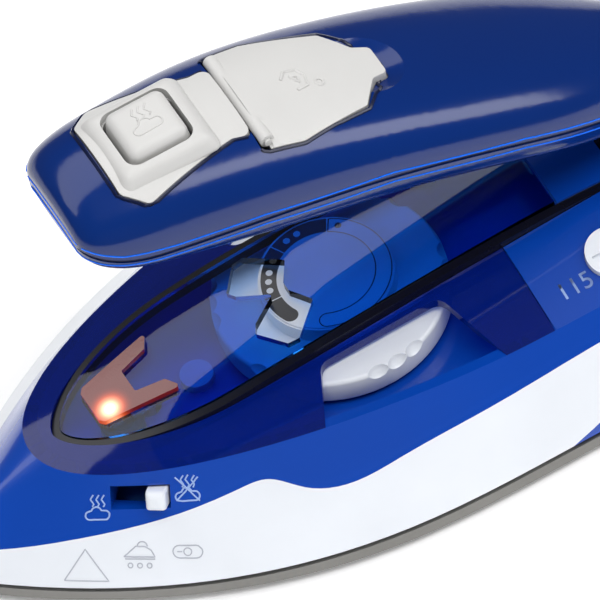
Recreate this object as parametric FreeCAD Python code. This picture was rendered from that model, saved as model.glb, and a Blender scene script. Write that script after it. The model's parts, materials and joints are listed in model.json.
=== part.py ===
import FreeCAD, Part
import math
import os
from FreeCAD import Vector

# Compact steam iron with a folding handle. Millimetres, +Z up, nose towards -X, soleplate on z = 0.
# A station is a distance back from the tip of the nose. at() turns it into X.

# Overall sizes
length = 190.0
width = 86.0
gland_reach = 12.0
gland_radius = 4.2
gland_height = 9.6

# Heights of the stacked layers
sole_thickness = 3.6
shield_thickness = 1.2
crease_height = 22.0
floor_top = 16.4
floor_thickness = 1.8
element_radius = 2.5
chamber_inset = 14.0
cover_rise = 4.4
wall = 2.2

# How far the flank leans in between the shield and the crease, and how far the nose falls back
base_inset = 0.6
flank_lean = 11.4
nose_fallback = 25.0
widest_station = 98.0
heel_round_start = 135.0

# Clearances
fit = 0.05
gap = 0.3

# Cover, window and dial
window_tip = 31.5
window_half = 12.4
window_end = 126.0
window_thickness = 1.8
window_crown = 0.9
ridge_height = 29.5
ridge_fall = 6.9
ridge_station = 100.0
gasket_width = 1.6
gasket_height = 3.6
gasket_end = 140.0
cover_thickness = 1.6
cover_end = 114.0
notch_strip = 1.6
dial_station = 85.5
wheel_radius = 21.2
wheel_bottom = 17.2
wheel_top = 22.6
hub_radius = 12.2
hub_top = 25.9
scale_thickness = 0.3
spindle_radius = 3.0

# Handle and its hinge
pivot_station = 163.0
pivot_height = 33.0
knuckle_radius = 11.5
knuckle_half = 11.0
pin_radius = 3.0
ear_thickness = 5.0
ear_radius = 10.5
lock_radius = 5.0
lock_travel = 2.0
handle_wall = 2.2
seal_thickness = 0.8
skin_proud = 0.3
skin_depth = 1.9
plate_prism_bottom = 74.0
lid_prism_bottom = 68.0
upper_end = 150.0
button_station = 60.8
button_size = 12.8
button_proud = 3.4
button_travel = 3.0
pump_radius = 5.2
pump_wall = 1.6
lid_start = 76.6
lid_barrel_radius = 1.3
lid_pin_radius = 0.7
lid_axis_height = 82.5
fill_station = 88.0
fill_radius = 7.0

# Steam lever, valve needle, screws and voltage selector
needle_station = 48.0
needle_radius = 1.2
screw_radius = 1.5
screw_spots = [(112, 16), (112, -16), (58, 0)]
lever_station = 40.0
lever_height = 17.6
lever_travel = 6.0
lever_size = 3.6
flank_angle = 37.0
selector_station = 129.5
selector_offset = 23.6
selector_radius = 4.6
selector_tilt = 16.0

middle = (length + gland_reach) / 2
sole_top = sole_thickness
shield_top = sole_top + shield_thickness
floor_bottom = floor_top - floor_thickness
reach = 80.0


def at(station):
    return station - middle


def save(name, shape):
    shape.exportStep("parts/" + name + ".step")


def closed_curve(points):
    # Evenly spaced parameters keep every outline of a loft in step with the others.
    curve = Part.BSplineCurve()
    count = len(points)
    curve.interpolate(Points=points, PeriodicFlag=True, Parameters=[i / count for i in range(count + 1)])
    return Part.Wire(curve.toShape())


def plan_wire(half, tip, heel, swell, blunt, widest, height):
    # A boat-shaped outline: pointed or blunt at the nose, a squarish round at the heel.
    steps = 18
    side = []
    for step in range(1, steps):
        station = tip + (heel - tip) * (1 - math.cos(math.pi * step / steps)) / 2
        reach_out = half
        if station < widest:
            reach_out = half * (1 - ((widest - station) / (widest - tip)) ** swell) ** blunt
        if station > heel_round_start:
            tail = (station - heel_round_start) / (heel - heel_round_start)
            reach_out = half * (1 - tail ** 2.6) ** (1 / 2.6)
        side.append((at(station), reach_out))
    points = [Vector(at(tip), 0, height)]
    points += [Vector(x, -y, height) for x, y in side]
    points.append(Vector(at(heel), 0, height))
    points += [Vector(x, y, height) for x, y in reversed(side)]
    return closed_curve(points)


def flank_wire(height, inset):
    # Outline of the body at one height, moved in by the inset.
    rise = max((height - shield_top) / (crease_height - shield_top), 0)
    lean = base_inset + flank_lean * rise ** 1.15 + inset
    tip = nose_fallback * rise + 1.4 * inset
    return plan_wire(width / 2 - lean, tip, length - lean, 2.35 - 0.8 * rise, 1 - 0.52 * rise,
                     widest_station + 12 * rise, height)


def flank_solid(bottom, top, inset):
    levels = 6
    wires = [flank_wire(bottom + (top - bottom) * i / (levels - 1), inset) for i in range(levels)]
    return Part.makeLoft(wires, True, False)


def base_plate(bottom, thickness, inset):
    wire = flank_wire(0, inset)
    wire.translate(Vector(0, 0, bottom))
    return Part.Face(wire).extrude(Vector(0, 0, thickness))


def dome_solid(inset, drop):
    # The shoulder above the crease, rising to the black gasket.
    lean = base_inset + flank_lean
    half = width / 2 - lean
    heel = length - lean
    levels = [(0, half, nose_fallback, heel), (0.6, half - 9.5, nose_fallback + 18, heel - 6),
              (1, window_half + gasket_width, nose_fallback + 37, heel - 10)]
    wires = [plan_wire(wide - inset, tip + inset, back - inset, 1.55, 0.48, widest_station + 12,
                       crease_height + share * cover_rise - drop) for share, wide, tip, back in levels]
    return Part.makeLoft(wires, True, False)


def side_prism(points, smooth_count):
    # A region in side view, right across the body. The first smooth_count points are one curve.
    curve = Part.BSplineCurve()
    curve.interpolate(Points=[Vector(at(x), -reach, z) for x, z in points[:smooth_count]])
    corners = [Vector(at(x), -reach, z) for x, z in points[smooth_count - 1:] + points[:1]]
    edges = [curve.toShape()]
    edges += [Part.makeLine(a, b) for a, b in zip(corners, corners[1:])]
    return Part.Face(Part.Wire(edges)).extrude(Vector(0, 2 * reach, 0))


def plan_prism(points, bottom, top, radius=0):
    corners = [Vector(at(x), y, bottom) for x, y in points]
    solid = Part.Face(Part.makePolygon(corners + corners[:1])).extrude(Vector(0, 0, top - bottom))
    if radius:
        upright = [e for e in solid.Edges if abs(e.tangentAt(e.FirstParameter).z) > 0.9]
        solid = solid.makeFillet(radius, upright)
    return solid


def cylinder(radius, bottom, top, station, y=0):
    return Part.makeCylinder(radius, top - bottom, Vector(at(station), y, bottom))


def cross_cylinder(radius, start, end, station, height):
    return Part.makeCylinder(radius, end - start, Vector(at(station), start, height), Vector(0, 1, 0))


def along_x(radius, start, end):
    return Part.makeCylinder(radius, end - start, Vector(at(start), 0, gland_height), Vector(1, 0, 0))


def box(station, y, bottom, long, wide, high):
    return Part.makeBox(long, wide, high, Vector(at(station) - long / 2, y - wide / 2, bottom))


def mirrored(shape):
    return shape.mirror(Vector(0, 0, 0), Vector(0, 1, 0))


def ridge(station):
    # Height of the window along its middle.
    if station < ridge_station:
        return ridge_height - ridge_fall * ((ridge_station - station) / (ridge_station - window_tip)) ** 2.1
    return ridge_height - ((station - ridge_station) / 26) ** 2


def crowned_slab(top_drop, thickness):
    # A sheet that follows the window's ridge and crown, lowered by top_drop.
    rows = []
    for i in range(16):
        station = 22 + 8.2 * i
        rows.append([Vector(at(station), 4.5 * j, ridge(station) - top_drop
                     - window_crown * (4.5 * j / window_half) ** 2) for j in range(-4, 5)])
    surface = Part.BSplineSurface()
    surface.interpolate(rows)
    return surface.toShape().extrude(Vector(0, 0, -thickness))


def boat_prism(grow, end):
    # Upright prism on the window's outline, grown all round.
    widest = 62.0
    tip = window_tip - grow
    near = []
    steps = 12
    for i in range(1, steps + 1):
        station = tip + (widest - tip) * (1 - math.cos(math.pi / 2 * i / steps))
        share = (widest - station) / (widest - tip)
        near.append((station, (window_half + grow) * (1 - share ** 2) ** 0.6))
    near.append((ridge_station, window_half + grow - 0.5))
    near.append((end, window_half + grow - 1.9))
    curve = Part.BSplineCurve()
    ring = [Vector(at(x), -y, 10) for x, y in reversed(near)] + [Vector(at(tip), 0, 10)]
    ring += [Vector(at(x), y, 10) for x, y in near]
    curve.interpolate(Points=ring)
    wire = Part.Wire([curve.toShape(), Part.makeLine(ring[-1], ring[0])])
    return Part.Face(wire).extrude(Vector(0, 0, 40))


# Layers under the body
def make_soleplate():
    plate = Part.makeLoft([plan_wire(width / 2 - 2.2, 3, length - 2.2, 2.35, 1, widest_station, 0),
                           flank_wire(1.2, 0.1), flank_wire(sole_thickness, 0.1)], True, True)
    holes = []
    for i in range(5):
        for side in (-1, 1):
            holes.append(cylinder(1.4, -1, sole_top + 1, 26 + 9 * i, side * (5 + 4.2 * i)))
            holes.append(cylinder(1.4, -1, sole_top + 1, 84 + 11 * i, side * 27))
    holes.append(cylinder(1.4, -1, sole_top + 1, 19))
    return plate.cut(holes)


def element_path(radius):
    bend = 15.0
    left = Part.makeLine(Vector(at(148), -bend, 0), Vector(at(64), -bend, 0))
    right = Part.makeLine(Vector(at(64), bend, 0), Vector(at(148), bend, 0))
    nose = Part.Arc(Vector(at(64), -bend, 0), Vector(at(64) - bend, 0, 0), Vector(at(64), bend, 0)).toShape()
    ring = Part.Wire(Part.makeCircle(radius, Vector(at(148), -bend, 0), Vector(1, 0, 0)))
    pipe = Part.Wire([left, nose, right]).makePipeShell([ring], True, True)
    pipe.translate(Vector(0, 0, sole_top + 2.9))
    return pipe


chamber_top = sole_top + 5.6
lid_plate_top = chamber_top + 1.6


def make_chamber():
    block = base_plate(sole_top, chamber_top - sole_top, chamber_inset)
    hollow = base_plate(sole_top + 1.4, chamber_top, 24).common(box(74, 0, 0, 70, 18, 40))
    return block.cut([element_path(element_radius + 0.1), hollow])


def make_sealed_plates():
    gasket = base_plate(chamber_top, 0.6, chamber_inset + 0.2).cut(
        base_plate(chamber_top - 1, 3, chamber_inset + 4.5))
    plate = base_plate(chamber_top + 0.6, 1.0, chamber_inset + 0.2)
    return gasket, plate.cut(cylinder(2.6, 0, 40, needle_station))


# Outer shells
boundary = [(-3, 7.6), (8, 8.8), (25, 12), (43, 15), (53, 16.9), (58, 17.2), (62.5, 15), (67, 13.8),
            (80, 14.8), (96, 16.3), (120, 17.4), (150, 18), (195, 18.4)]
wedge = [(98, 2.4), (105, 4), (114, 6.2), (126, 9.6), (142, 12.6), (165, 14.2), (195, 14.8)]


def make_casings():
    full = flank_solid(shield_top, crease_height, 0)
    hollow = flank_solid(shield_top - 1, crease_height + 1, wall)
    below = side_prism(boundary + [(195, -5), (-3, -5)], len(boundary)).cut(hollow)
    skirt = full.common(below)
    wedge_prism = side_prism(wedge + [(195, -8), (98, -8)], len(wedge))
    under_floor = hollow.common(Part.makeBox(2 * middle + 20, 2 * reach, reach + floor_bottom,
                                             Vector(-middle - 10, -reach, -reach)))
    pocket = Part.makeLoft([flank_wire(crease_height + 0.01, 2.0), flank_wire(floor_top, 7.0)], True, True)
    shell = full.cut(below).cut(under_floor).cut(pocket)
    return skirt.cut(wedge_prism), skirt.common(wedge_prism), shell


def dome_shell():
    return dome_solid(0, 0).cut(dome_solid(1.2, cover_thickness))


def behind(station):
    return Part.makeBox(200, 2 * reach, 200, Vector(at(station), -reach, -50))


def make_ears():
    ears = []
    for side in (-1, 1):
        start = knuckle_half + gap if side > 0 else -knuckle_half - gap - ear_thickness
        disc = cross_cylinder(ear_radius, start, start + ear_thickness, pivot_station, pivot_height)
        corners = [(-16, crease_height - 1), (14, crease_height - 1), (0.94 * ear_radius, pivot_height + 4),
                   (-0.94 * ear_radius, pivot_height + 4)]
        ring = [Vector(at(pivot_station) + x, start, z) for x, z in corners + corners[:1]]
        foot = Part.Face(Part.makePolygon(ring)).extrude(Vector(0, ear_thickness, 0))
        ears.append(disc.fuse(foot))
    return ears


def selector_frame(shape):
    # Local +Z becomes the outward normal of the sloping panel.
    shape.rotate(Vector(0, 0, 0), Vector(1, 0, 0), selector_tilt)
    shape.translate(Vector(at(selector_station), -selector_offset, crease_height + 2.2))
    return shape


def lever_frame(shape):
    # Local X runs along the flank, local -Y points out of it.
    shape.rotate(Vector(0, 0, 0), Vector(1, 0, 0), -28)
    shape.rotate(Vector(0, 0, 0), Vector(0, 0, 1), -flank_angle)
    shape.translate(Vector(at(lever_station), -18.6, lever_height))
    return shape


def lever_box(long, deep, high, shift_x, outward):
    return Part.makeBox(long, deep, high, Vector(shift_x - long / 2, -outward, -high / 2))


def make_body_shell(shell):
    rear = dome_shell().common(behind(cover_end)).cut(boat_prism(gasket_width + 0.1, gasket_end))
    rear = rear.fuse(make_ears())
    clear = cross_cylinder(knuckle_radius + 0.6, -knuckle_half - gap, knuckle_half + gap,
                           pivot_station, pivot_height)
    pin_hole = cross_cylinder(pin_radius, -reach, reach, pivot_station, pivot_height)
    ear_face = -knuckle_half - gap - ear_thickness
    lock_well = cross_cylinder(lock_radius + fit, ear_face - 1, ear_face + lock_travel + 0.5,
                               pivot_station, pivot_height)
    knob_hole = selector_frame(Part.makeCylinder(selector_radius + fit, 12, Vector(0, 0, -6)))
    slot_long = lever_travel + lever_size + 0.8
    slot = lever_frame(lever_box(slot_long, 22, lever_size + 0.8, -lever_travel / 2, 8))
    body = shell.fuse(rear).cut([clear, pin_hole, lock_well, knob_hole, slot])
    bush_hole = cylinder(5.2, 0, 40, dial_station)
    needle_hole = cylinder(2.4, 0, 40, needle_station)
    screw_holes = [cylinder(screw_radius, 0, 40, x, y) for x, y in screw_spots]
    return body.cut([bush_hole, needle_hole] + screw_holes)


def notch():
    outer = width / 2
    inner = window_half + gasket_width + notch_strip
    near = [(75.5, -inner), (99.5, -inner), (108, -outer), (62, -outer)]
    return plan_prism(near, crease_height - 5, 60, 2.5)


def make_cover():
    cover = dome_shell().cut([behind(cover_end - 0.2), boat_prism(gasket_width + 0.1, gasket_end)])
    return cover.cut([notch(), mirrored(notch())])


def make_gasket():
    ring = boat_prism(gasket_width, gasket_end - 0.1).cut(boat_prism(0.1, gasket_end - gasket_width))
    return crowned_slab(0.4, gasket_height).common(ring)


lens_points = [(37.6, -3.4), (38.4, -4.4), (52.8, -6.9), (51.0, -3.9), (45.6, -2.6),
               (45.6, 2.6), (51.0, 3.9), (52.8, 6.9), (38.4, 4.4), (37.6, 3.4)]
bow_points = [(75.0, 0), (69.6, -3.6), (68.6, -5.4), (72.4, -10.4), (74.6, -10.6), (80.4, -5.2), (77.8, -1),
              (77.8, 1), (80.4, 5.2), (74.6, 10.6), (72.4, 10.4), (68.6, 5.4), (69.6, 3.6)]


def make_window():
    pane = crowned_slab(0, window_thickness).common(boat_prism(0, window_end))
    return pane.cut([plan_prism(lens_points, 10, 50, 0.5), plan_prism(bow_points, 10, 50, 0.4)])


def make_lens():
    return crowned_slab(-1.0, window_thickness + 1.0).common(plan_prism(lens_points, 10, 50, 0.5))


def make_rear_deck():
    strip = boat_prism(0, gasket_end - gasket_width - 0.1).common(behind(window_end + 0.3))
    return crowned_slab(0, 3.0).common(strip)


# Dial
def make_wheel():
    wheel = cylinder(wheel_radius, wheel_bottom, wheel_top, dial_station)
    wheel = wheel.makeFillet(0.8, [wheel.Edges[0], wheel.Edges[2]])
    hub = cylinder(hub_radius, wheel_top, hub_top, dial_station)
    dents = []
    for i in range(18):
        turn = math.radians(60 * (i // 3) + 10.5 * (i % 3) - 94.5)
        reach_out = wheel_radius + 1.0
        dents.append(Part.makeSphere(2.4, Vector(at(dial_station) + reach_out * math.cos(turn),
                                                 reach_out * math.sin(turn), wheel_top + 0.4)))
    socket = cylinder(spindle_radius, wheel_bottom - 1, wheel_top - 1, dial_station)
    return wheel.fuse(hub).cut(dents + [socket])


# Handle: station, top, seam, bottom and half width of each cross-section
sections = [(40.6, 82.4, 79.0, 76.2, 9.0), (42.2, 84.8, 78.2, 73.4, 12.0), (46.5, 86.6, 76.4, 71.0, 14.4),
            (56.0, 87.0, 74.6, 68.0, 16.2), (72.0, 85.2, 72.6, 63.4, 17.8), (96.0, 77.6, 66.8, 56.4, 18.4),
            (121.0, 66.0, 56.6, 46.2, 17.8), (138.0, 56.6, 48.0, 38.2, 15.4), (150.0, 49.4, 41.4, 34.0, 10.9),
            (163.0, 44.4, 36.0, 28.0, 10.8)]


def handle_section(station, top, seam, bottom, half, inset):
    points = []
    for i in range(24):
        turn = 2 * math.pi * i / 24
        lift = top - seam - inset if i <= 12 else seam - bottom - inset
        power = 2 / 2.35 if i <= 12 else 2 / 2.8
        across = math.copysign(abs(math.cos(turn)) ** power, math.cos(turn))
        up = math.copysign(abs(math.sin(turn)) ** power, math.sin(turn))
        points.append(Vector(at(station), (half - inset) * across, seam + lift * up))
    return closed_curve(points)


def handle_solid(inset, first=0, last=None):
    chosen = sections[first:last]
    return Part.makeLoft([handle_section(*section, inset) for section in chosen], True, False)


def below_seam(shift):
    curve = [(30, 86.6 + shift)] + [(s[0], s[2] + shift) for s in sections[:-1]]
    return side_prism(curve + [(upper_end, 0), (30, 0)], len(curve))


plate_points = [(50.6, -8.6), (54.4, -12.0), (72.6, -8.0), (76.2, -8.6), (76.2, 8.6), (72.6, 8.0),
                (54.4, 12.0), (50.6, 8.6)]
lid_points = [(lid_start, -11.8), (84, -12.4), (97.4, -9.2), (101.2, -4.0), (104.2, -3.2), (104.2, 3.2),
              (101.2, 4.0), (97.4, 9.2), (84, 12.4), (lid_start, 11.8)]


def grown(points, amount):
    centre = sum(x for x, y in points) / len(points)
    long = max(x for x, y in points) - min(x for x, y in points)
    wide = 2 * max(y for x, y in points)
    return [(centre + (x - centre) * (1 + 2 * amount / long), y * (1 + 2 * amount / wide)) for x, y in points]


def top_slab(points, bottom, depth, radius):
    # A piece of the handle's skin inside an outline: a little proud of it above, depth below it.
    prism = plan_prism(points, bottom, 100, radius)
    return handle_solid(-skin_proud).common(prism).cut(handle_solid(depth))


def button_prism(grow, bottom, top):
    side = button_size + 2 * grow
    block = box(button_station, 0, bottom, side, side, top - bottom)
    upright = [e for e in block.Edges if abs(e.tangentAt(e.FirstParameter).z) > 0.9]
    return block.makeFillet(3.2 + grow, upright)


def lid_axis():
    return lid_start + lid_barrel_radius, lid_axis_height


def make_handle_shells():
    outer = handle_solid(0)
    inner = handle_solid(handle_wall, 2, 8)
    hollow = outer.cut(inner)
    rear = behind(upper_end)
    upper = hollow.cut([below_seam(seal_thickness / 2), rear])
    openings = [plan_prism(grown(plate_points, gap), plate_prism_bottom, 100, 1.5),
                plan_prism(grown(lid_points, gap), lid_prism_bottom, 100, 1)]
    thumb = Part.makeSphere(15, Vector(at(106.5), 0, 87.2))
    x, z = lid_axis()
    upper = upper.cut(openings + [thumb, cross_cylinder(lid_pin_radius, -reach, reach, x, z)])
    lower = hollow.common(below_seam(-seal_thickness / 2)).fuse(hollow.common(rear))
    knuckle = cross_cylinder(knuckle_radius, -knuckle_half, knuckle_half, pivot_station, pivot_height)
    bore = cross_cylinder(pin_radius + fit, -reach, reach, pivot_station, pivot_height)
    lower = lower.fuse(knuckle).cut(bore)
    seal = handle_solid(0.35).cut(inner).common(below_seam(seal_thickness / 2))
    seal = seal.cut([below_seam(-seal_thickness / 2), rear])
    return upper, lower, seal


def make_fill_lid():
    skin = top_slab(lid_points, lid_prism_bottom, skin_depth, 1)
    x, z = lid_axis()
    skin = skin.common(behind(x))
    barrel = cross_cylinder(lid_barrel_radius, -10.6, 10.6, x, z)
    hole = cross_cylinder(lid_pin_radius + fit, -reach, reach, x, z)
    return skin.fuse(barrel).cut(hole)


def make_fill_neck():
    ledge = handle_solid(2.7).common(plan_prism(grown(lid_points, 2), lid_prism_bottom, 100))
    ledge = ledge.cut(handle_solid(3.9))
    ledge = ledge.common(behind(lid_start + 4))
    tube = cylinder(fill_radius + 1.2, 68, 90, fill_station).common(handle_solid(2.7))
    return ledge.fuse(tube).cut(cylinder(fill_radius, 60, 95, fill_station))


def make_spring(bottom, top, radius, wire):
    # Half turns, each a flat half ring tilted so that its ends meet the next.
    half_turns = 6
    climb = (top - bottom) / half_turns
    tilt = math.atan2(climb / 2, radius)
    halves = []
    for i in range(half_turns):
        half = Part.makeTorus(radius / math.cos(tilt), wire, Vector(0, 0, 0), Vector(0, 0, 1), -180, 180, 180)
        half.rotate(Vector(0, 0, 0), Vector(0, 1, 0), math.degrees(tilt))
        half.rotate(Vector(0, 0, 0), Vector(0, 0, 1), 180 * i)
        half.translate(Vector(at(button_station), 0, bottom + climb * (i + 0.5)))
        halves.append(half)
    return halves[0].fuse(halves[1:])


os.makedirs("parts", exist_ok=True)

save("soleplate", make_soleplate())
save("steam_chamber", make_chamber())
save("heating_element", element_path(element_radius))
gasket, plate = make_sealed_plates()
save("chamber_gasket", gasket)
save("chamber_cover", plate)
save("heat_shield", base_plate(sole_top, shield_thickness, 1.6).cut(
    base_plate(sole_top - 1, 4, chamber_inset - 2)))

skirt, heel, shell = make_casings()
gland_hole = along_x(gland_radius + 0.1, length - 9.6, length + 20)
save("skirt", skirt.cut(gland_hole))
save("heel_block", heel.cut(gland_hole))
save("body_shell", make_body_shell(shell))
save("cover_wall", make_cover())
save("cover_gasket", make_gasket())
save("cover_window", make_window())
save("indicator_lens", make_lens())
save("rear_deck", make_rear_deck())

save("lamp_holder", cylinder(4, floor_top, 19.6, 42, -2.4).cut(cylinder(2.3, floor_top + 1, 30, 42, -2.4)))
save("indicator_lamp", cylinder(2.2, floor_top + 1, 21.8, 42, -2.4))
save("thermostat_base", box(dial_station, 0, lid_plate_top, 24, 22, 2.4).cut(
    cylinder(spindle_radius + fit, 0, 40, dial_station)))
bush = cylinder(5, lid_plate_top + 2.4, floor_top + 0.4, dial_station)
save("thermostat_bush", bush.cut(cylinder(spindle_radius + fit, 0, 40, dial_station)))
save("valve_body", box(needle_station, 0, lid_plate_top, 16, 14, 2.6).cut(
    cylinder(needle_radius + fit, 0, 40, needle_station)))
save("voltage_switch_body", box(selector_station, -selector_offset + 2, floor_top, 14, 10, 4.3))
save("terminal_block", box(154, 0, lid_plate_top, 16, 24, 3))
save("thermal_fuse", box(118, 0, lid_plate_top, 18, 7, 2.4))
gland = along_x(gland_radius, length - 12, length + gland_reach)
gland = gland.fuse(along_x(gland_radius + 0.6, length - 12, length - 9.6))
save("cord_inlet", gland.cut(along_x(gland_radius - 1.4, 0, 2 * length)))
save("cord_clamp", box(length - 20, 0, lid_plate_top, 5, 16, 3.4))

save("pivot_pin", cross_cylinder(pin_radius, -knuckle_half - gap - ear_thickness + 2.6,
                                 knuckle_half + gap + ear_thickness, pivot_station, pivot_height))
cap_start = knuckle_half + gap + ear_thickness
save("pivot_cap", cross_cylinder(6.5, cap_start, cap_start + 1.6, pivot_station, pivot_height))

screws = [cylinder(2 * screw_radius, floor_top, floor_top + 1.8, x, y).fuse(
    cylinder(screw_radius, lid_plate_top, floor_top, x, y)) for x, y in screw_spots]
save("shell_screws", Part.makeCompound(screws))

save("dial_wheel", make_wheel())
scale_ring = cylinder(hub_radius - 0.3, hub_top, hub_top + scale_thickness, dial_station)
save("dial_scale", scale_ring)
save("thermostat_spindle", cylinder(spindle_radius, lid_plate_top, wheel_top - 1, dial_station))

upper, lower, seal = make_handle_shells()
save("handle_upper", upper)
save("handle_lower", lower)
save("handle_seal", seal)
surround = top_slab(plate_points, plate_prism_bottom, skin_depth, 1.5)
save("button_surround", surround.cut(button_prism(gap, 60, 100)))
save("fill_lid", make_fill_lid())
save("fill_neck", make_fill_neck())
pump_floor = 70.2
pump_top = 79.0
pump = cylinder(pump_radius + pump_wall, pump_floor, pump_top, button_station).common(
    handle_solid(handle_wall + 0.1))
save("pump_cylinder", pump.cut(cylinder(pump_radius, pump_floor + 1.4, 90, button_station)))
piston_bottom = 76.0
button_bottom = pump_top + button_travel + 0.4
piston = cylinder(pump_radius - fit, piston_bottom, piston_bottom + 2.2, button_station)
rod = cylinder(2.0, piston_bottom + 2.2, button_bottom, button_station)
feed_points = [Vector(at(x), 0, z) for x, z in [(68.2, 71.6), (86, 63.8), (100, 59.2), (121, 50.4), (136.5, 43.4)]]
feed_curve = Part.BSplineCurve()
feed_curve.interpolate(Points=feed_points)
feed_ring = Part.Wire(Part.makeCircle(1.4, feed_points[0], feed_curve.tangent(0)[0]))
save("feed_pipe", Part.Wire(feed_curve.toShape()).makePipeShell([feed_ring], True, True))
save("pump_piston", piston.fuse(rod))
save("pump_spring", make_spring(pump_floor + 1.8, piston_bottom - 0.4, 3.6, 0.28))
button = button_prism(0, button_bottom, 87.0 + button_proud)
top_edges = [e for e in button.Edges if e.BoundBox.ZMin > 87.0 + button_proud - 0.01]
save("steam_button", button.makeFillet(1.6, top_edges))
axis_x, axis_z = lid_axis()
save("lid_pin", cross_cylinder(lid_pin_radius, -13.2, 13.2, axis_x, axis_z))
lid_seal = cylinder(fill_radius - 1.6, 76.2, 90, fill_station).common(handle_solid(skin_depth + 0.1))
save("lid_seal", lid_seal)

peg = lever_frame(lever_box(lever_size, 13, lever_size, 0, 3.2))
save("steam_lever", peg)
save("valve_needle", cylinder(needle_radius, lid_plate_top, floor_top + 2, needle_station))
knob = selector_frame(Part.makeCylinder(selector_radius, 3.4, Vector(0, 0, -2)))
knob_slot = selector_frame(Part.makeBox(7, 1.2, 1.2, Vector(-3.5, -0.6, 0.6)))
save("voltage_selector", knob.cut(knob_slot))
lock_start = -knuckle_half - gap - ear_thickness
save("fold_lock_button", cross_cylinder(lock_radius, lock_start - lock_travel - 0.6, lock_start + gap,
                                         pivot_station, pivot_height))
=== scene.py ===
import bpy
import json
import math
from mathutils import Matrix, Vector


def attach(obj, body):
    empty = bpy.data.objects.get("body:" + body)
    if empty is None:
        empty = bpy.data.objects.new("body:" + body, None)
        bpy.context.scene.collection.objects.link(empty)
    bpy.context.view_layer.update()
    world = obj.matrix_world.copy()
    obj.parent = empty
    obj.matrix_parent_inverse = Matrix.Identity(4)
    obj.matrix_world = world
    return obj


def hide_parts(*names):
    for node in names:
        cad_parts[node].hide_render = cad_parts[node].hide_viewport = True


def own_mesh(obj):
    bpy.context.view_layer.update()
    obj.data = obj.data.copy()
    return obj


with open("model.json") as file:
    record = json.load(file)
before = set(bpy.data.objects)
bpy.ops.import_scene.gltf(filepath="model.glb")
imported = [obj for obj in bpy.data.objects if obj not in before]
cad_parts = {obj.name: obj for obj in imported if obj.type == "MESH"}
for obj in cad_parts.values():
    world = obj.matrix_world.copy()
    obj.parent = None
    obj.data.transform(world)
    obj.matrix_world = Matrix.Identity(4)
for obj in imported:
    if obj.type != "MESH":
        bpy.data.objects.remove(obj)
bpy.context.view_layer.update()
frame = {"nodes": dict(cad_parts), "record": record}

nodes = frame["nodes"]
mm = 0.001
noseTip = 101  # millimetres from the middle of the iron to its nose
bpy.ops.object.select_all(action='DESELECT')
print("frame loaded:", len(nodes), "nodes")


def spot(station, near, height):
    # Stations are millimetres back from the nose, near is towards the lever side.
    return Vector(((station - noseTip) * mm, -near * mm, height * mm))


# Camera, lights and floor
cameraLook = {
    "azimuth": -17.1, "elevation": 52.3, "roll": 14.5,
    "distance": 2.7, "lens": 927, "clipStart": 0.01, "target": (-0.0220, -0.0022, 0.0263),
}


def turned(right, up, back, place):
    return Matrix((
        (right.x, up.x, back.x, place.x), (right.y, up.y, back.y, place.y),
        (right.z, up.z, back.z, place.z), (0, 0, 0, 1)))


def addCamera():
    side = math.radians(cameraLook["azimuth"])
    rise = math.radians(cameraLook["elevation"])
    turn = math.radians(cameraLook["roll"])
    back = Vector((math.sin(side) * math.cos(rise), -math.cos(side) * math.cos(rise), math.sin(rise)))
    level = Vector((math.cos(side), math.sin(side), 0))
    upright = back.cross(level)
    right = level * math.cos(turn) - upright * math.sin(turn)
    up = back.cross(right)
    place = Vector(cameraLook["target"]) + back * cameraLook["distance"]
    bpy.ops.object.camera_add()
    camera = bpy.context.object
    camera.data.lens = cameraLook["lens"]
    camera.data.clip_start = cameraLook["clipStart"]
    camera.matrix_world = turned(right, up, back, place)
    bpy.context.scene.camera = camera


studio = {
    "worldStrength": 0.10,
    "aim": (0, 0, 0.04),
    "floorSize": 6, "floorDrop": 0.0004, "floorColour": (0.95, 0.95, 0.96), "floorRoughness": 0.8,
    "floorGlow": 0.12,
    # Panels seen in the gloss: a broad one above the far side and a strip above the heel.
    "farPanel": {"place": (-0.20, 0.62, 1.06), "along": (1, 0, 0), "size": (2.3, 0.62),
                 "radiance": 1.9, "inGloss": True},
    "nearStrip": {"place": (0.66, -0.35, 0.90), "along": (0.66, 0.235, -0.375), "size": (1.3, 0.34),
                  "radiance": 4.2, "inGloss": True},
    # Fills that the gloss does not show.
    "topFill": {"place": (0.0, -0.15, 1.2), "along": (1, 0, 0), "size": (1.0, 1.0),
                "radiance": 3.4, "inGloss": False},
    "frontFill": {"place": (-0.35, -1.0, 0.35), "along": (1, 0, 0), "size": (0.8, 0.6),
                  "radiance": 2.4, "inGloss": False},
}


def addLights():
    world = bpy.data.worlds.new("studioWorld")
    bpy.context.scene.world = world
    world.use_nodes = True
    background = world.node_tree.nodes["Background"]
    background.inputs["Color"].default_value = (1, 1, 1, 1)
    background.inputs["Strength"].default_value = studio["worldStrength"]
    for name in ("farPanel", "nearStrip", "topFill", "frontFill"):
        panel = studio[name]
        bpy.ops.object.light_add(type='AREA')
        lamp = bpy.context.object
        lamp.name = name
        lamp.data.shape = 'RECTANGLE'
        lamp.data.size, lamp.data.size_y = panel["size"]
        lamp.data.energy = panel["radiance"] * math.pi * panel["size"][0] * panel["size"][1]
        lamp.visible_glossy = panel["inGloss"]
        place = Vector(panel["place"])
        away = (place - Vector(studio["aim"])).normalized()
        along = Vector(panel["along"])
        along = (along - away * along.dot(away)).normalized()
        lamp.matrix_world = turned(along, away.cross(along), away, place)
    bpy.context.scene.view_settings.view_transform = 'Standard'


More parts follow.
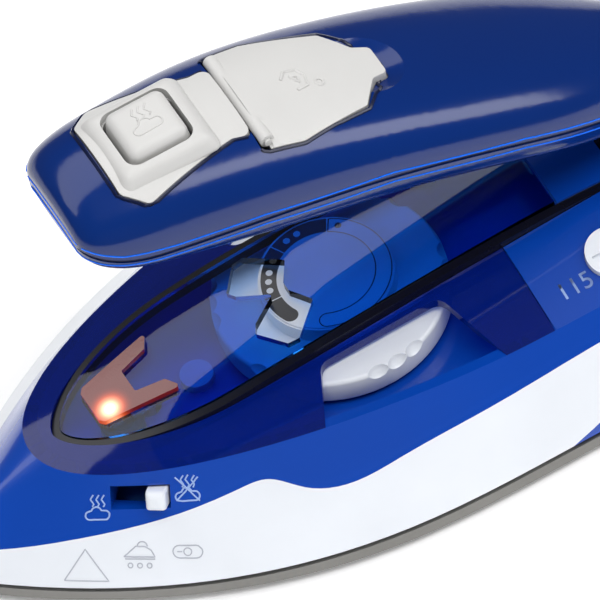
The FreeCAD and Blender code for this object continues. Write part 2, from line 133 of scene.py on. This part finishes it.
def addFloor():
    bpy.ops.mesh.primitive_plane_add(size=studio["floorSize"], location=(0, 0, -studio["floorDrop"]))
    floor = bpy.context.object
    floor.name = "studioFloor"
    paper = plainMaterial("floorPaper", studio["floorColour"], studio["floorRoughness"])
    shader = paper.node_tree.nodes["Principled BSDF"]
    shader.inputs["Emission Color"].default_value = (1, 1, 1, 1)
    shader.inputs["Emission Strength"].default_value = studio["floorGlow"]
    floor.data.materials.append(paper)


# Materials
def newMaterial(name):
    material = bpy.data.materials.new(name)
    material.use_nodes = True
    return material, material.node_tree.nodes, material.node_tree.links


def plainMaterial(name, colour, roughness):
    material = newMaterial(name)[0]
    shader = material.node_tree.nodes["Principled BSDF"]
    shader.inputs["Base Color"].default_value = (*colour, 1)
    shader.inputs["Roughness"].default_value = roughness
    return material


mouldedLook = {"cloudScale": 38, "cloudDetail": 5, "cloudLow": 0.35, "cloudHigh": 0.7, "grainDetail": 2,
               "grainDepth": 0.00005, "wornShare": 0.93, "coatRoughness": 0.04}


def makeMouldedGroup():
    # Handling marks as a roughness, moulding grain as a normal and a faint colour drift.
    group = bpy.data.node_groups.new("mouldedSurface", 'ShaderNodeTree')
    face = group.interface
    for name, value in (("Roughness", 0.2), ("Marks", 0.05), ("Grain", 0.1), ("Grain Scale", 1500)):
        face.new_socket(name, in_out='INPUT', socket_type='NodeSocketFloat').default_value = value
    face.new_socket("Roughness", in_out='OUTPUT', socket_type='NodeSocketFloat')
    face.new_socket("Normal", in_out='OUTPUT', socket_type='NodeSocketVector')
    face.new_socket("Drift", in_out='OUTPUT', socket_type='NodeSocketFloat')
    tree, links = group.nodes, group.links
    start = tree.new('NodeGroupInput')
    end = tree.new('NodeGroupOutput')
    place = tree.new('ShaderNodeTexCoord')
    cloudy = tree.new('ShaderNodeTexNoise')
    cloudy.inputs["Scale"].default_value = mouldedLook["cloudScale"]
    cloudy.inputs["Detail"].default_value = mouldedLook["cloudDetail"]
    spread = tree.new('ShaderNodeMapRange')
    spread.inputs["From Min"].default_value = mouldedLook["cloudLow"]
    spread.inputs["From Max"].default_value = mouldedLook["cloudHigh"]
    scaled = tree.new('ShaderNodeMath')
    scaled.operation = 'MULTIPLY_ADD'
    grain = tree.new('ShaderNodeTexNoise')
    grain.inputs["Detail"].default_value = mouldedLook["grainDetail"]
    bump = tree.new('ShaderNodeBump')
    bump.inputs["Distance"].default_value = mouldedLook["grainDepth"]
    links.new(place.outputs["Object"], cloudy.inputs["Vector"])
    links.new(place.outputs["Object"], grain.inputs["Vector"])
    links.new(start.outputs["Grain Scale"], grain.inputs["Scale"])
    links.new(cloudy.outputs["Fac"], spread.inputs["Value"])
    links.new(spread.outputs["Result"], scaled.inputs[0])
    links.new(start.outputs["Marks"], scaled.inputs[1])
    links.new(start.outputs["Roughness"], scaled.inputs[2])
    links.new(grain.outputs["Fac"], bump.inputs["Height"])
    links.new(start.outputs["Grain"], bump.inputs["Strength"])
    links.new(scaled.outputs[0], end.inputs["Roughness"])
    links.new(bump.outputs["Normal"], end.inputs["Normal"])
    links.new(spread.outputs["Result"], end.inputs["Drift"])
    return group


mouldedGroup = makeMouldedGroup()


def mixColours(tree, links, factor, first, second):
    mix = tree.new('ShaderNodeMix')
    mix.data_type = 'RGBA'
    links.new(factor, mix.inputs["Factor"])
    for socket, colour in ((mix.inputs[6], first), (mix.inputs[7], second)):
        if isinstance(colour, tuple):
            socket.default_value = (*colour, 1)
        else:
            links.new(colour, socket)
    return mix.outputs[2]


def plasticMaterial(name, colour, roughness, marks=0.05, grain=0.05, grainScale=1500, coat=0.0,
                    rim=None, rimBlend=0.4, **extra):
    material, tree, links = newMaterial(name)
    shader = tree["Principled BSDF"]
    surface = tree.new('ShaderNodeGroup')
    surface.node_tree = mouldedGroup
    surface.inputs["Roughness"].default_value = roughness
    surface.inputs["Marks"].default_value = marks
    surface.inputs["Grain"].default_value = grain
    surface.inputs["Grain Scale"].default_value = grainScale
    links.new(surface.outputs["Roughness"], shader.inputs["Roughness"])
    links.new(surface.outputs["Normal"], shader.inputs["Normal"])
    worn = tuple(channel * mouldedLook["wornShare"] for channel in colour)
    tone = mixColours(tree, links, surface.outputs["Drift"], colour, worn)
    # A rim colour is laid towards the edges as seen from the camera; on the handle it is darker, a painted
    # shade.
    if rim:
        facing = tree.new('ShaderNodeLayerWeight')
        facing.inputs["Blend"].default_value = rimBlend
        tone = mixColours(tree, links, facing.outputs["Facing"], tone, rim)
    links.new(tone, shader.inputs["Base Color"])
    shader.inputs["Coat Weight"].default_value = coat
    shader.inputs["Coat Roughness"].default_value = mouldedLook["coatRoughness"]
    for socket, value in extra.items():
        shader.inputs[socket.replace("_", " ")].default_value = value
    return material


finishes = {
    "royalBlue": plasticMaterial("royalBlueGloss", (0.0018, 0.052, 0.38), 0.18, coat=0.5),
    # Painted shade: the handle's navy turns darker where it faces away from the camera
    "tankBlue": plasticMaterial("tankBlueGloss", (0.001, 0.021, 0.15), 0.11,
                                rim=(0.001, 0.012, 0.09)),
    "windowTint": plasticMaterial("windowTint", (0.01, 0.16, 0.62), 0.02, marks=0.02, grain=0.0,
                                  Transmission_Weight=1.0, IOR=1.46),
    "navyTint": plasticMaterial("navyTint", (0.002, 0.02, 0.26), 0.04, marks=0.03, grain=0.0,
                                Transmission_Weight=0.55, IOR=1.49),
    "whiteGloss": plasticMaterial("whiteGloss", (0.76, 0.79, 0.84), 0.28, coat=0.15),
    "whiteSoft": plasticMaterial("whiteSoft", (0.56, 0.555, 0.545), 0.45, grain=0.3, grainScale=2500),
    "blackRubber": plasticMaterial("blackGasket", (0.004, 0.004, 0.008), 0.25),
    "sealBlue": plasticMaterial("tankSeal", (0.03, 0.035, 0.08), 0.25),
    # Painted highlight: a bright blue with a faint glow, for the lines along the handle's seam
    "seamHighlightBlue": plasticMaterial("seamHighlightLine", (0.004, 0.12, 0.70), 0.25, Emission_Strength=0.25,
                                Emission_Color=(0.0, 0.10, 0.75, 1)),
    "soleGrey": plasticMaterial("soleCoating", (0.24, 0.235, 0.22), 0.5, grain=0.4, grainScale=3000,
                                Metallic=0.5),
    "castAlloy": plasticMaterial("castAlloy", (0.55, 0.55, 0.56), 0.45, grain=0.6, grainScale=900,
                                 Metallic=1.0),
    "steel": plasticMaterial("brightSteel", (0.62, 0.62, 0.64), 0.3, Metallic=1.0),
    "brass": plasticMaterial("brass", (0.72, 0.52, 0.22), 0.3, Metallic=1.0),
    "darkPlastic": plasticMaterial("darkPlastic", (0.015, 0.015, 0.02), 0.5, grain=0.3),
    "lampGlass": plasticMaterial("lampGlass", (0.25, 0.03, 0.02), 0.25),
    # Painted shade, for the dark lines round the openings in the handle's top
    "shadeNavy": plasticMaterial("shadeNavy", (0.002, 0.006, 0.035), 0.2),
    "paleInk": plasticMaterial("paleInk", (0.30, 0.42, 0.72), 0.5),
    "greyInk": plasticMaterial("greyInk", (0.42, 0.44, 0.50), 0.5),
}


shadeTints = {"windowTint": (0.80, 0.90, 1.0), "navyTint": (0.08, 0.25, 0.60)}


def letLightThrough(material, tint):
    # Shadow rays pass straight through, so what lies under the tinted cover is lit.
    tree, links = material.node_tree.nodes, material.node_tree.links
    shader = tree["Principled BSDF"]
    clear = tree.new('ShaderNodeBsdfTransparent')
    clear.inputs["Color"].default_value = (*tint, 1)
    path = tree.new('ShaderNodeLightPath')
    choose = tree.new('ShaderNodeMixShader')
    links.new(path.outputs["Is Shadow Ray"], choose.inputs["Fac"])
    links.new(shader.outputs["BSDF"], choose.inputs[1])
    links.new(clear.outputs["BSDF"], choose.inputs[2])
    links.new(choose.outputs["Shader"], tree["Material Output"].inputs["Surface"])


for finish, tint in shadeTints.items():
    letLightThrough(finishes[finish], tint)


def sums(tree, links, operation, first, second=0.0):
    node = tree.new('ShaderNodeMath')
    node.operation = operation
    for socket, value in zip(node.inputs, (first, second)):
        if isinstance(value, (int, float)):
            socket.default_value = value
        else:
            links.new(value, socket)
    return node.outputs[0]


# The printed dial: a dark heat band with dots, then two thin lines round to the cool end.
dialPrint = {
    "face": (0.76, 0.79, 0.84), "roughness": 0.3, "ink": (0.03, 0.03, 0.035),
    "centre": 85.5, "middle": 10.25, "halfWidth": 1.42, "line": 0.11,
    "bandFrom": 58, "bandTo": 203, "linesFrom": -117,
    "dots": (91, 103.5, 142.7, 153.6, 164.5), "dotRadius": 0.62,
    "dividers": (60, 117, 177), "dividerHalf": 0.6, "darkDot": 48.8,
}


def makeDialGroup():
    group = bpy.data.node_groups.new("dialPrintMask", 'ShaderNodeTree')
    group.interface.new_socket("Mask", in_out='OUTPUT', socket_type='NodeSocketFloat')
    tree, links = group.nodes, group.links
    end = tree.new('NodeGroupOutput')
    place = tree.new('ShaderNodeTexCoord')
    split = tree.new('ShaderNodeSeparateXYZ')
    links.new(place.outputs["Object"], split.inputs["Vector"])

    def do(operation, first, second=0.0):
        return sums(tree, links, operation, first, second)

    centre = spot(dialPrint["centre"], 0, 0)
    x = do('SUBTRACT', do('DIVIDE', split.outputs["X"], mm), centre.x / mm)
    y = do('DIVIDE', split.outputs["Y"], mm)
    radius = do('SQRT', do('ADD', do('MULTIPLY', x, x), do('MULTIPLY', y, y)))
    angle = do('MULTIPLY', do('ARCTAN2', y, x), 180 / math.pi)
    middle, half, line = dialPrint["middle"], dialPrint["halfWidth"], dialPrint["line"]

    def distanceTo(degrees):
        turn = math.radians(degrees)
        dx = do('SUBTRACT', x, middle * math.cos(turn))
        dy = do('SUBTRACT', y, middle * math.sin(turn))
        return do('SQRT', do('ADD', do('MULTIPLY', dx, dx), do('MULTIPLY', dy, dy)))

    offMiddle = do('ABSOLUTE', do('SUBTRACT', radius, middle))
    inBand = do('LESS_THAN', offMiddle, half)
    # Angles run from the end of the thin lines, so the band never crosses the turn-over.
    along = do('MODULO', do('ADD', angle, 360 - dialPrint["linesFrom"]), 360)
    bandStart = dialPrint["bandFrom"] - dialPrint["linesFrom"]
    bandEnd = dialPrint["bandTo"] - dialPrint["linesFrom"]
    inHeat = do('MULTIPLY', do('GREATER_THAN', along, bandStart), do('LESS_THAN', along, bandEnd))
    heat = do('MULTIPLY', inBand, inHeat)
    heat = do('MAXIMUM', heat, do('LESS_THAN', distanceTo(dialPrint["bandTo"]), half))
    for degrees in dialPrint["dots"]:
        heat = do('MULTIPLY', heat, do('GREATER_THAN', distanceTo(degrees), dialPrint["dotRadius"]))
    for degrees in dialPrint["dividers"]:
        gap = do('ABSOLUTE', do('SUBTRACT', along, degrees - dialPrint["linesFrom"]))
        heat = do('MULTIPLY', heat, do('GREATER_THAN', gap, dialPrint["dividerHalf"]))
    edge = do('LESS_THAN', do('ABSOLUTE', do('SUBTRACT', offMiddle, half)), line)
    lines = do('MULTIPLY', edge, do('LESS_THAN', along, bandStart))
    cool = distanceTo(dialPrint["linesFrom"])
    loop = do('LESS_THAN', do('ABSOLUTE', do('SUBTRACT', cool, half)), line)
    loop = do('MULTIPLY', loop, do('GREATER_THAN', along, bandEnd))
    mask = do('MAXIMUM', heat, do('MAXIMUM', lines, loop))
    mask = do('MAXIMUM', mask, do('LESS_THAN', distanceTo(dialPrint["darkDot"]), dialPrint["dotRadius"]))
    links.new(mask, end.inputs["Mask"])
    return group


def dialMaterial():
    material = plasticMaterial("dialFace", dialPrint["face"], dialPrint["roughness"])
    tree, links = material.node_tree.nodes, material.node_tree.links
    shader = tree["Principled BSDF"]
    plain = shader.inputs["Base Color"].links[0].from_socket
    mask = tree.new('ShaderNodeGroup')
    mask.node_tree = makeDialGroup()
    printed = mixColours(tree, links, mask.outputs["Mask"], plain, dialPrint["ink"])
    links.new(printed, shader.inputs["Base Color"])
    return material


finishes["dialPrint"] = dialMaterial()


# The red lens, lit from below near its near front corner.
lensLook = {
    "centre": (40.4, 2.7, 24.5), "reach": 5.2, "falloff": 3.2, "strength": 6.0,
    "glowFaint": (0.25, 0.01, 0.005), "glowRed": (1.0, 0.13, 0.02), "glowCore": (1.0, 0.75, 0.45),
    "glowRedAt": 0.45, "glowCoreAt": 0.85,
    "prismScale": 2600, "prismDepth": 0.0001, "prismStrength": 0.22,
    "body": (0.11, 0.008, 0.007), "rim": (0.80, 0.05, 0.02), "rimBlend": 0.2,
    "roughness": 0.12, "coat": 0.9,
}


def lensMaterial():
    material, tree, links = newMaterial("redLens")
    shader = tree["Principled BSDF"]
    place = tree.new('ShaderNodeTexCoord')
    # Painted glow: the emission stands in for the light of the lamp beneath the lens, strongest near the
    # given centre
    away = tree.new('ShaderNodeVectorMath')
    away.operation = 'DISTANCE'
    away.inputs[1].default_value = spot(*lensLook["centre"])
    links.new(place.outputs["Object"], away.inputs[0])
    far = sums(tree, links, 'DIVIDE', away.outputs["Value"], lensLook["reach"] * mm)
    near = sums(tree, links, 'SUBTRACT', 1.0, far)
    near.node.use_clamp = True
    ramp = tree.new('ShaderNodeValToRGB')
    ramp.color_ramp.elements[0].position = 0.0
    ramp.color_ramp.elements[0].color = (*lensLook["glowFaint"], 1)
    ramp.color_ramp.elements[1].position = lensLook["glowCoreAt"]
    ramp.color_ramp.elements[1].color = (*lensLook["glowCore"], 1)
    ramp.color_ramp.elements.new(lensLook["glowRedAt"]).color = (*lensLook["glowRed"], 1)
    links.new(near, ramp.inputs["Fac"])
    links.new(ramp.outputs["Color"], shader.inputs["Emission Color"])
    gathered = sums(tree, links, 'POWER', near, lensLook["falloff"])
    bright = sums(tree, links, 'MULTIPLY', gathered, lensLook["strength"])
    links.new(bright, shader.inputs["Emission Strength"])
    prisms = tree.new('ShaderNodeTexVoronoi')
    prisms.inputs["Scale"].default_value = lensLook["prismScale"]
    links.new(place.outputs["Object"], prisms.inputs["Vector"])
    bump = tree.new('ShaderNodeBump')
    bump.inputs["Distance"].default_value = lensLook["prismDepth"]
    bump.inputs["Strength"].default_value = lensLook["prismStrength"]
    links.new(prisms.outputs["Distance"], bump.inputs["Height"])
    links.new(bump.outputs["Normal"], shader.inputs["Normal"])
    # Painted sheen: the red grows brighter towards the lens's edges as seen from the camera
    facing = tree.new('ShaderNodeLayerWeight')
    facing.inputs["Blend"].default_value = lensLook["rimBlend"]
    tone = mixColours(tree, links, facing.outputs["Facing"], lensLook["body"], lensLook["rim"])
    links.new(tone, shader.inputs["Base Color"])
    shader.inputs["Roughness"].default_value = lensLook["roughness"]
    shader.inputs["Coat Weight"].default_value = lensLook["coat"]
    return material


finishes["redLens"] = lensMaterial()


# Which finish each CAD piece takes
finishOf = {
    "royalBlue": ["heel_block", "body_shell", "rear_deck", "pivot_cap", "valve_needle"],
    "tankBlue": ["handle_upper", "handle_lower"],
    "windowTint": ["cover_window"],
    "navyTint": ["cover_wall"],
    "whiteGloss": ["skirt", "dial_wheel", "steam_lever", "voltage_selector"],
    "whiteSoft": ["button_surround", "fill_lid", "fill_neck", "pump_cylinder", "pump_piston", "feed_pipe",
                  "steam_button", "fold_lock_button", "terminal_block", "thermal_fuse"],
    "blackRubber": ["cover_gasket", "cord_inlet"],
    "sealBlue": ["handle_seal", "chamber_gasket", "lid_seal"],
    "soleGrey": ["soleplate"],
    "castAlloy": ["steam_chamber"],
    "steel": ["heating_element", "chamber_cover", "pivot_pin", "shell_screws", "thermostat_spindle",
              "lid_pin", "pump_spring"],
    "brass": ["thermostat_bush", "valve_body"],
    "darkPlastic": ["heat_shield", "lamp_holder", "thermostat_base", "voltage_switch_body", "cord_clamp"],
    "redLens": ["indicator_lens"],
    "lampGlass": ["indicator_lamp"],
    "dialPrint": ["dial_scale"],
}
for finish, names in finishOf.items():
    for name in names:
        nodes[name].data.materials.clear()
        nodes[name].data.materials.append(finishes[finish])
print("materials made:", len(finishes))


# Skins: the visible CAD pieces, shaded smooth
skinLook = {"merge": 0.00001, "smoothAngle": 28, "softAngle": 32}


def bodyOf(name):
    bodies = frame["record"]["behaviour"]["bodies"]
    return next(body for body, members in bodies.items() if name in members)


def pick(piece):
    bpy.ops.object.select_all(action='DESELECT')
    piece.select_set(True)
    bpy.context.view_layer.objects.active = piece


def smoothCopy(name):
    # The same shape as the CAD node, with its loose triangles merged so that it shades smoothly.
    piece = bpy.data.objects.new(name + "Skin", nodes[name].data.copy())
    bpy.context.scene.collection.objects.link(piece)
    pick(piece)
    if piece.data.has_custom_normals:
        bpy.ops.mesh.customdata_custom_splitnormals_clear()
    bpy.ops.object.mode_set(mode='EDIT')
    bpy.ops.mesh.select_all(action='SELECT')
    bpy.ops.mesh.remove_doubles(threshold=skinLook["merge"])
    bpy.ops.object.mode_set(mode='OBJECT')
    bpy.ops.object.shade_smooth_by_angle(angle=math.radians(skinLook["smoothAngle"]))
    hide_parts(name)
    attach(piece, bodyOf(name))
    return piece


def soften(piece, edge):
    pick(piece)
    bevel = piece.modifiers.new("soften", 'BEVEL')
    bevel.width = edge["round"] * mm
    bevel.segments = edge["segments"]
    bevel.limit_method = 'ANGLE'
    bevel.angle_limit = math.radians(edge["angle"])
    bevel.harden_normals = False
    bpy.ops.object.modifier_apply(modifier=bevel.name)
    bpy.ops.object.shade_smooth_by_angle(angle=math.radians(skinLook["softAngle"]))


skins = {}
for name in ("skirt", "heel_block", "body_shell", "cover_wall", "cover_window", "cover_gasket", "soleplate",
             "handle_upper", "handle_lower", "handle_seal", "dial_wheel", "rear_deck", "fill_lid",
             "button_surround", "indicator_lens", "pivot_cap", "voltage_selector",
             "fold_lock_button", "cord_inlet", "steam_lever"):
    skins[name] = smoothCopy(name)
print("smooth skins made:", len(skins))


# Rounded edges: the steam lever's tab and the red lens
softEdges = {
    "steam_lever": {"round": 1.2, "segments": 4, "angle": 40},
    "indicator_lens": {"round": 0.3, "segments": 2, "angle": 50},
}
for name, edge in softEdges.items():
    soften(skins[name], edge)
print("steam lever and lens softened")


# Line icons and figures, laid on the skins as raised ink
iconLook = {
    "steamWidth": 0.16, "skirtWidth": 0.12, "smoothAngle": 40,
    "stroke": 0.0006,  # metres between a line's points
    "outside": 2.5,    # millimetres off the surface, where the drawing starts
}


def fine(points):
    # Extra points on each straight run, so that the ink follows a curved skin.
    dense = [points[0]]
    for start, stop in zip(points, points[1:]):
        count = max(1, math.ceil((stop - start).length / iconLook["stroke"]))
        dense += [start.lerp(stop, i / count) for i in range(1, count + 1)]
    return dense


def layStroke(name, skin, points, width, ink):
    points = fine(points)
    curve = bpy.data.curves.new(name, 'CURVE')
    curve.dimensions = '3D'
    curve.bevel_depth = width * mm
    curve.bevel_resolution = 1
    curve.use_fill_caps = True
    line = curve.splines.new('POLY')
    line.points.add(len(points) - 1)
    for knot, point in zip(line.points, points):
        knot.co = (*skin.closest_point_on_mesh(point)[1], 1)
    stroke = bpy.data.objects.new(name, curve)
    bpy.context.scene.collection.objects.link(stroke)
    pick(stroke)
    bpy.ops.object.convert(target='MESH')
    stroke.data.materials.clear()
    stroke.data.materials.append(ink)
    return stroke


def joinStrokes(name, strokes, body):
    bpy.ops.object.select_all(action='DESELECT')
    for stroke in strokes:
        stroke.select_set(True)
    bpy.context.view_layer.objects.active = strokes[0]
    bpy.ops.object.join()
    icon = bpy.context.object
    icon.name = name
    bpy.ops.object.shade_smooth_by_angle(angle=math.radians(iconLook["smoothAngle"]))
    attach(icon, body)
    return icon


def iconPlane(centre, across, upward):
    # Gives a function from icon millimetres to points near the surface.
    right = Vector(across).normalized()
    up = Vector(upward)
    up = (up - right * up.dot(right)).normalized()
    origin = spot(*centre) + right.cross(up) * iconLook["outside"] * mm
    return lambda x, y: origin + right * (x * mm) + up * (y * mm)


def arc(cx, cy, radius, start, stop, steps=14):
    turns = [math.radians(start + (stop - start) * i / steps) for i in range(steps + 1)]
    return [(cx + radius * math.cos(t), cy + radius * math.sin(t)) for t in turns]


def cloudLines(size=1):
    base = arc(-1.5, -1.2, 0.75, 260, 110) + arc(-0.2, -0.5, 0.95, 165, 20) + arc(1.3, -1.0, 0.85, 70, -80)
    base.append(base[0])
    puffs = [[(x + 0.28 * math.sin(2.2 * t), 0.5 + t * 0.62) for t in (0, 0.7, 1.4, 2.1, 2.8, 3.5)]
             for x in (-0.9, 0.1, 1.1)]
    return [[(x * size, y * size) for x, y in line] for line in [base] + puffs]


def buildIcon(name, skin, centre, across, upward, lines, width, ink, body):
    plane = iconPlane(centre, across, upward)
    strokes = [layStroke(name + str(i), skins[skin], [plane(x, y) for x, y in line], width, ink)
               for i, line in enumerate(lines)]
    return joinStrokes(name, strokes, body)


flankAcross = (0.80, -0.60, 0)
flankUp = (0.3, 0.4, 0.85)
cross = [[(-2.1, -1.9), (2.1, 2.3)], [(-2.1, 2.3), (2.1, -1.9)]]
triangle = [[(-4.0, -2.6), (4.0, -2.6), (0, 3.2), (-4.0, -2.6)]]
ironShape = [[(-2.8, 0.4), (2.8, 0.4), (2.2, 1.6), (1.0, 2.3), (-0.6, 2.3), (-2.8, 0.4)],
             [(-2.6, 0), (2.8, 0)], arc(0.6, 2.3, 0.9, 180, 0, 8)]
ironShape += [arc(x, -1.2, 0.45, 0, 360, 10) for x in (-1.7, 0, 1.7)]
switchShape = [arc(1.5, 0.6, 1.15, -90, 90, 8) + arc(-1.5, 0.6, 1.15, 90, 270, 8) + [(1.5, -0.55)],
               arc(0, 0.6, 0.7, 0, 360, 12), [(-1.9, 0.6), (-1.0, 0.6)]]
flankIcons = {
    "steamOnIcon": ("body_shell", (30.3, 14.0, 16.4), cloudLines(), "steamWidth", "paleInk"),
    "steamOffIcon": ("body_shell", (45.0, 21.6, 18.6), cloudLines() + cross, "steamWidth", "paleInk"),
    "triangleIcon": ("skirt", (24.8, 17, 7.6), triangle, "skirtWidth", "greyInk"),
    "ironIcon": ("skirt", (33.2, 21.9, 8.7), ironShape, "skirtWidth", "greyInk"),
    "switchIcon": ("skirt", (40.6, 26.4, 9.0), switchShape, "skirtWidth", "greyInk"),
}
for name, (skin, centre, lines, width, ink) in flankIcons.items():
    buildIcon(name, skin, centre, flankAcross, flankUp, lines, iconLook[width], finishes[ink],
              "base")
print("icons laid:", len(flankIcons))


# Voltage figure beside the selector
figureLook = {"text": "115", "size": 4.6, "thickness": 0.05, "centre": (121.0, 25.8, 30.0), "tilt": 16,
              "lift": 0.08}


def buildFigure():
    bpy.ops.object.text_add(location=(0, 0, 0))
    figure = bpy.context.object
    figure.name = "voltageFigure"
    figure.data.body = figureLook["text"]
    figure.data.size = figureLook["size"] * mm
    figure.data.align_x = 'CENTER'
    figure.data.align_y = 'CENTER'
    figure.data.extrude = figureLook["thickness"] * mm
    pick(figure)
    bpy.ops.object.convert(target='MESH')
    figure.rotation_euler = (math.radians(figureLook["tilt"]), 0, 0)
    figure.location = spot(*figureLook["centre"])
    bpy.ops.object.transform_apply(location=True, rotation=True, scale=True)
    wrap = figure.modifiers.new("lay", 'SHRINKWRAP')
    wrap.target = skins["body_shell"]
    wrap.wrap_method = 'PROJECT'
    wrap.use_project_z = True
    wrap.use_negative_direction = True
    wrap.use_positive_direction = False
    wrap.offset = figureLook["lift"] * mm
    bpy.ops.object.modifier_apply(modifier=wrap.name)
    figure.data.materials.clear()
    figure.data.materials.append(finishes["paleInk"])
    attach(figure, "base")


buildFigure()
print("figure laid")


def layHandleLine(name, skin, points, width, ink):
    line = layStroke(name, skins[skin], points, width, ink)
    bpy.ops.object.shade_smooth_by_angle(angle=math.radians(iconLook["smoothAngle"]))
    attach(line, "handle")


# Painted highlights: two bright, faintly glowing lines along the edges where the handle's halves meet
seamHighlightLook = {"width": 0.17, "apart": 1.3, "outside": 1}
seamCurve = [(150, 41.4, 11), (138, 48.0, 15.4), (121, 56.6, 17.8), (96, 66.8, 18.4), (72, 72.6, 17.8),
             (56, 74.6, 16.2), (46.5, 76.4, 14.4), (42.2, 78.2, 10.5), (40.6, 79.0, 5), (40.2, 79.2, 0)]


def buildSeamHighlights():
    for name, side, skin in (("upperSeamHighlight", 1, "handle_upper"), ("lowerSeamHighlight", -1, "handle_lower")):
        shift = side * seamHighlightLook["apart"]
        near = [spot(u, half + seamHighlightLook["outside"], z + shift) for u, z, half in seamCurve]
        far = [spot(u, -half - seamHighlightLook["outside"], z + shift) for u, z, half in reversed(seamCurve)]
        layHandleLine(name, skin, near + far, seamHighlightLook["width"], finishes["seamHighlightBlue"])


buildSeamHighlights()


# Painted shade: the dark line round each opening, the shadow of its inner edge seen through the tinted top
openingLook = {"width": 0.34, "height": 88, "slope": 0.42, "slopeFrom": 72, "outlines": {
    "plateShade": [(76.0, 9.5), (72.6, 8.9), (54.2, 13.0), (49.8, 9.2), (49.8, -9.2), (54.2, -13.0),
                   (72.6, -8.9), (76.0, -9.5)],
    "lidShade": [(77.4, 12.9), (84.2, 13.5), (98.0, 10.2), (102.2, 5.0), (102.2, -5.0), (98.0, -10.2),
                 (84.2, -13.5), (77.4, -12.9)]}}


def buildOpeningShades():
    for name, outline in openingLook["outlines"].items():
        points = []
        for u, near in outline:
            fall = openingLook["slope"] * max(0, u - openingLook["slopeFrom"])
            points.append(spot(u, near, openingLook["height"] - fall))
        layHandleLine(name, "handle_upper", points, openingLook["width"], finishes["shadeNavy"])


buildOpeningShades()
print("handle lines laid")


# Steam button and the soft pad that rises round it
buttonLook = {
    "station": 60.8, "size": 12.6, "foot": 82.6, "top": 90.1, "taper": 0.88, "round": 1.7,
    "roundSegments": 6, "smoothAngle": 35, "cloudSize": 1.25, "cloudWidth": 0.19,
}
padLook = {
    "long": 20.5, "wide": 19.5, "foot": 84.6, "top": 88.4, "taper": 0.80, "round": 1.6,
    "hole": 13.2, "holeFoot": 70, "holeTop": 100, "holeRound": 2.4,
}


def taperedBlock(name, long, wide, foot, top, taper, rounding):
    middle = spot(buttonLook["station"], 0, (top + foot) / 2)
    bpy.ops.mesh.primitive_cube_add(size=1, location=middle)
    block = bpy.context.object
    block.name = name
    block.scale = (long * mm, wide * mm, (top - foot) * mm)
    bpy.ops.object.transform_apply(location=True, rotation=True, scale=True)
    for corner in block.data.vertices:
        corner.select = corner.co.z > middle.z
    for part in list(block.data.edges) + list(block.data.polygons):
        part.select = all(block.data.vertices[i].select for i in part.vertices)
    bpy.ops.object.mode_set(mode='EDIT')
    bpy.ops.transform.resize(value=(taper, taper, 1), center_override=middle)
    bpy.ops.object.mode_set(mode='OBJECT')
    bevel = block.modifiers.new("round", 'BEVEL')
    bevel.width = rounding * mm
    bevel.segments = buttonLook["roundSegments"]
    bpy.ops.object.modifier_apply(modifier=bevel.name)
    return block


def buildSteamButton():
    button = taperedBlock("steamButton", buttonLook["size"], buttonLook["size"], buttonLook["foot"],
                          buttonLook["top"], buttonLook["taper"], buttonLook["round"])
    bpy.ops.object.shade_smooth_by_angle(angle=math.radians(buttonLook["smoothAngle"]))
    button.data.materials.append(finishes["whiteSoft"])
    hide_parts("steam_button")
    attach(button, "button")
    skins["steam_button"] = button


def buildButtonPad():
    pad = taperedBlock("buttonPad", padLook["long"], padLook["wide"], padLook["foot"], padLook["top"],
                       padLook["taper"], padLook["round"])
    hole = taperedBlock("padHole", padLook["hole"], padLook["hole"], padLook["holeFoot"],
                        padLook["holeTop"], 1, padLook["holeRound"])
    pick(pad)
    cut = pad.modifiers.new("hole", 'BOOLEAN')
    cut.object = hole
    cut.operation = 'DIFFERENCE'
    cut.solver = 'EXACT'
    bpy.ops.object.modifier_apply(modifier=cut.name)
    pick(hole)
    bpy.ops.object.delete()
    pick(pad)
    bpy.ops.object.shade_smooth_by_angle(angle=math.radians(buttonLook["smoothAngle"]))
    pad.data.materials.append(finishes["whiteSoft"])
    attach(pad, "handle")


buildSteamButton()
buildButtonPad()
print("button and pad made")


# Raised marks on the button and the fill lid
topAcross = (1, 0, 0)
buildIcon("buttonCloud", "steam_button", (buttonLook["station"], 0, buttonLook["top"]), topAcross,
          (0, 1, 0), cloudLines(buttonLook["cloudSize"]), buttonLook["cloudWidth"],
          finishes["whiteSoft"], "button")
lidMark = {"centre": (90.0, 0.8, 80), "upward": (0, 1, 0.1), "width": 0.3}
arrow = [[(-3.4, 1.4), (-1.8, 3.2), (0.6, 3.0), (1.6, 1.2), (0.9, -1.2), (-1.6, -1.8)],
         [(-1.4, 1.6), (0.1, 1.4), (-0.3, -0.2), (-1.4, 1.6)], arc(3.4, -1.2, 0.8, 0, 360, 10)]
buildIcon("lidArrow", "fill_lid", lidMark["centre"], topAcross, lidMark["upward"], arrow,
          lidMark["width"], finishes["whiteSoft"], "lid")


# The lid's pin, kept within the width of its barrel
lidPinLook = {"narrow": 0.84, "middle": (77.9, 0, 82.5)}


def buildLidPin():
    pin = smoothCopy("lid_pin")
    pick(pin)
    bpy.ops.object.mode_set(mode='EDIT')
    bpy.ops.mesh.select_all(action='SELECT')
    middle = spot(*lidPinLook["middle"])
    bpy.ops.transform.resize(value=(1, lidPinLook["narrow"], 1), center_override=middle)
    bpy.ops.object.mode_set(mode='OBJECT')
    pin.data.materials[0] = finishes["whiteSoft"]


buildLidPin()


# The pump's spring, shaded smooth with a mesh of its own; nothing here shortens it as the button goes down
spring = smoothCopy("pump_spring")
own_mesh(spring)
print("handle details made")

addCamera()
addLights()
addFloor()
print("camera, lights and floor placed")
